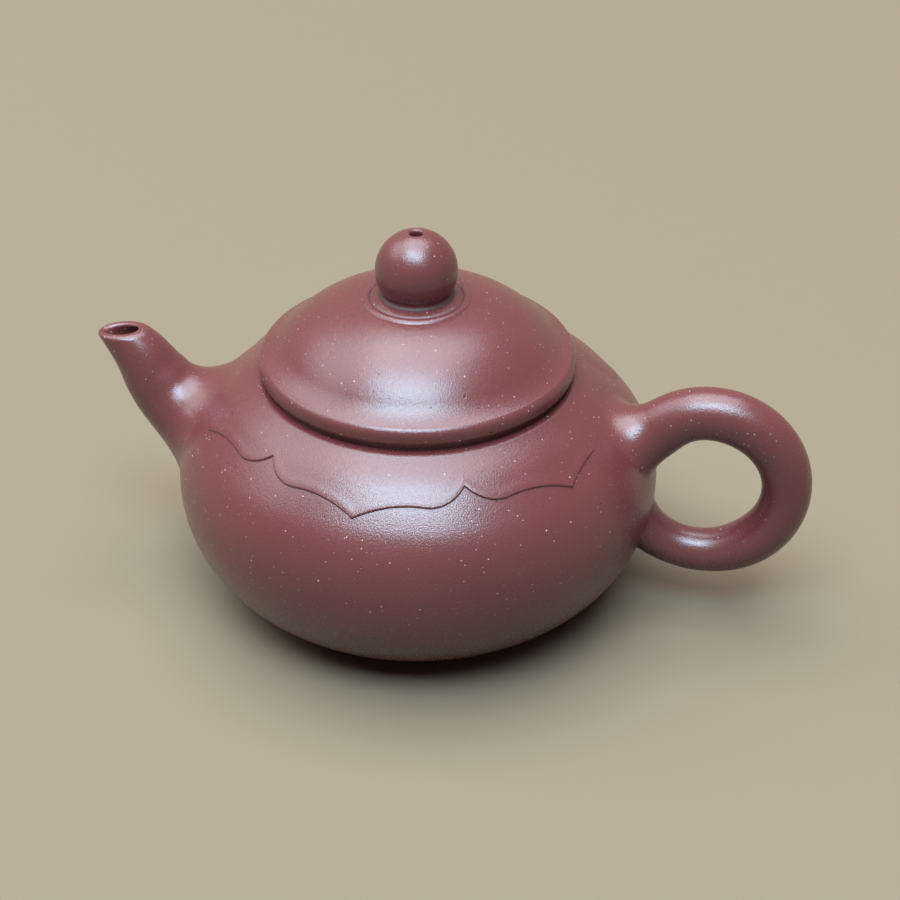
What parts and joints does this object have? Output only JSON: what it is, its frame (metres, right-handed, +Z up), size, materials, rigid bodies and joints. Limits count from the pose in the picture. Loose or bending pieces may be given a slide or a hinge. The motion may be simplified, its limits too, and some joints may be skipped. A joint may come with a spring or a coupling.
{
  "type": "clay teapot",
  "caption": "Small round unglazed clay teapot with a level-mouthed spout, a ring handle, a scalloped collar line on the shoulder and a domed lift-off lid with a ball knob.",
  "frame": {"origin": "on the table, under the centre of the pot's foot", "axes": "+Z up through the knob, spout towards -X, handle towards +X"},
  "size_m": [0.1259, 0.084, 0.0682],
  "materials": {
    "burnished_clay": "unglazed purple-brown clay, burnished to a soft satin, with fine pale sand",
    "raw_clay": "the same clay left unburnished, matt and slightly grainy"
  },
  "bodies": {
    "pot": {"base_slab": "raw_clay", "foot_ring": "raw_clay", "belly_wall": "burnished_clay", "shoulder_slab": "burnished_clay", "mouth_ring": "burnished_clay", "cloud_collar": "burnished_clay", "spout": "burnished_clay", "spout_strainer": "raw_clay", "handle": "burnished_clay"},
    "lid": {"lid_flange": "raw_clay", "lid_rim": "burnished_clay", "lid_dome": "burnished_clay", "knob_seat": "burnished_clay", "knob": "burnished_clay"}
  },
  "joints": [
    {"name": "lid_lift", "type": "slide", "parent": "pot", "child": "lid", "axis": [0, 0, 1], "range_m": [0, 0.06]}
  ]
}
